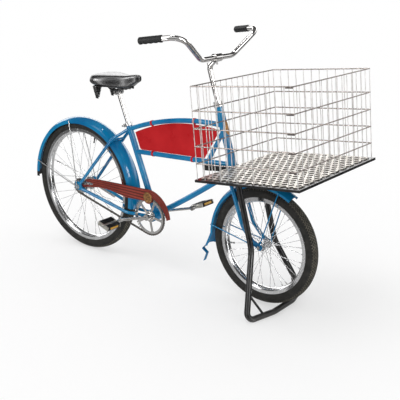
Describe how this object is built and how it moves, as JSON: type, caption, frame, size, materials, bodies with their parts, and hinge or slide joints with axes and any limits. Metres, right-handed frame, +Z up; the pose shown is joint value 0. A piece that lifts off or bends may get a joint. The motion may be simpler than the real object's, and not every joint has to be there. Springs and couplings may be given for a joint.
{
  "type": "delivery bicycle",
  "caption": "Delivery bicycle with a small front wheel under a frame-mounted wire basket, a folding stand, a sign panel, a chain guard and a sprung saddle.",
  "frame": {"origin": "on the ground under the middle of the whole length, in the middle plane", "axes": "+X forward, +Y to the rider's left, +Z up"},
  "size_m": [1.7685, 0.6634, 1.1415],
  "materials": {
    "blue_paint": "glossy blue enamel",
    "red_paint": "glossy red enamel",
    "maroon_paint": "satin maroon paint",
    "badge_brass": "plain polished badge",
    "black_paint": "satin black paint",
    "chrome": "bright plating, slightly dulled",
    "basket_zinc": "bright zinc on wire",
    "steel": "plain steel, slightly dull",
    "chain_steel": "oiled dark steel",
    "saddle_steel": "black enamel on steel",
    "saddle_cover": "smooth black covering over a cushion",
    "grip_rubber": "moulded black rubber",
    "tyre_rubber": "black rubber",
    "pedal_steel": "plated steel",
    "pedal_rubber": "black rubber blocks",
    "reflector_amber": "amber reflector plastic"
  },
  "bodies": {
    "frame": {"head_tube": "blue_paint", "seat_tube": "blue_paint", "top_tube": "blue_paint", "down_tube": "blue_paint", "lower_tube": "blue_paint", "head_strut": "blue_paint", "bottom_bracket_shell": "blue_paint", "chain_stays": "blue_paint", "seat_stays": "blue_paint", "fender_bridge": "blue_paint", "rear_dropouts": "steel", "headset_cups": "chrome", "bottom_bracket_cups": "chrome", "seat_clamp": "steel", "sign_panel": "red_paint", "chain_guard": "maroon_paint", "badges": "badge_brass", "chain": "chain_steel", "rear_fender": "blue_paint", "rear_fender_braces": "steel", "rear_axle": "steel", "brake_arm": "steel", "carrier_frame": "black_paint", "carrier_arms": "black_paint", "basket_sides": "basket_zinc", "basket_ends": "basket_zinc", "basket_floor": "basket_zinc"},
    "seat_post": {"seat_post": "chrome"},
    "saddle": {"saddle_clamp": "steel", "saddle_rails": "saddle_steel", "saddle_pan": "saddle_steel", "saddle_springs": "saddle_steel", "saddle_pad": "saddle_cover"},
    "fork": {"fork_crown": "blue_paint", "fork_blades": "blue_paint", "headset_locknut": "chrome", "front_fender": "blue_paint", "front_fender_braces": "blue_paint", "front_axle": "steel"},
    "stem": {"stem": "chrome"},
    "handlebar": {"handlebar": "chrome", "grips": "grip_rubber"},
    "front_wheel": {"front_tyre": "tyre_rubber", "front_rim": "chrome", "front_spokes": "steel", "front_hub": "steel"},
    "rear_wheel": {"rear_tyre": "tyre_rubber", "rear_rim": "chrome", "rear_spokes": "steel", "rear_hub": "steel"},
    "cog": {"rear_cog": "steel"},
    "crank": {"crank": "chrome", "chainring": "steel"},
    "pedal_right": {"pedal_right_cage": "pedal_steel", "pedal_right_blocks": "pedal_rubber", "pedal_right_reflectors": "reflector_amber"},
    "pedal_left": {"pedal_left_cage": "pedal_steel", "pedal_left_blocks": "pedal_rubber", "pedal_left_reflectors": "reflector_amber"},
    "stand": {"stand": "black_paint"}
  },
  "joints": [
    {"name": "steering", "type": "hinge", "parent": "frame", "child": "fork", "pos_m": [0.48423, 0, 0.24467], "axis": [-0.3007, 0, 0.9537], "range_deg": [-18, 18]},
    {"name": "front_wheel_spin", "type": "hinge", "parent": "fork", "child": "front_wheel", "pos_m": [0.5487, 0, 0.265], "axis": [0, 1, 0], "continuous": true},
    {"name": "rear_wheel_spin", "type": "hinge", "parent": "frame", "child": "rear_wheel", "pos_m": [-0.5323, 0, 0.331], "axis": [0, 1, 0], "continuous": true},
    {"name": "crank_spin", "type": "hinge", "parent": "frame", "child": "crank", "pos_m": [-0.0663, 0, 0.271], "axis": [0, 1, 0], "continuous": true},
    {"name": "cog_spin", "type": "hinge", "parent": "frame", "child": "cog", "pos_m": [-0.5323, -0.043, 0.331], "axis": [0, 1, 0], "continuous": true},
    {"name": "pedal_right_spin", "type": "hinge", "parent": "crank", "child": "pedal_right", "pos_m": [-0.23741, -0.128, 0.22194], "axis": [0, 1, 0], "continuous": true},
    {"name": "pedal_left_spin", "type": "hinge", "parent": "crank", "child": "pedal_left", "pos_m": [0.1048, 0.128, 0.32006], "axis": [0, 1, 0], "continuous": true},
    {"name": "stand_fold", "type": "hinge", "parent": "frame", "child": "stand", "pos_m": [0.4607, 0, 0.568], "axis": [0, -1, 0], "range_deg": [0, 78]},
    {"name": "stem_height", "type": "slide", "parent": "fork", "child": "stem", "axis": [-0.3007, 0, 0.9537], "range_m": [-0.03, 0.03]},
    {"name": "bar_roll", "type": "hinge", "parent": "stem", "child": "handlebar", "pos_m": [0.2897, 0, 1.028], "axis": [0, 1, 0], "range_deg": [-20, 20]},
    {"name": "seat_height", "type": "slide", "parent": "frame", "child": "seat_post", "axis": [-0.3649, 0, 0.9311], "range_m": [-0.08, 0.06]},
    {"name": "saddle_tilt", "type": "hinge", "parent": "seat_post", "child": "saddle", "pos_m": [-0.28413, 0, 0.82684], "axis": [0, 1, 0], "range_deg": [-8, 8]}
  ],
  "couplings": [
    {"joint": "cog_spin", "follows": "crank_spin", "ratio": 2.4444}
  ]
}
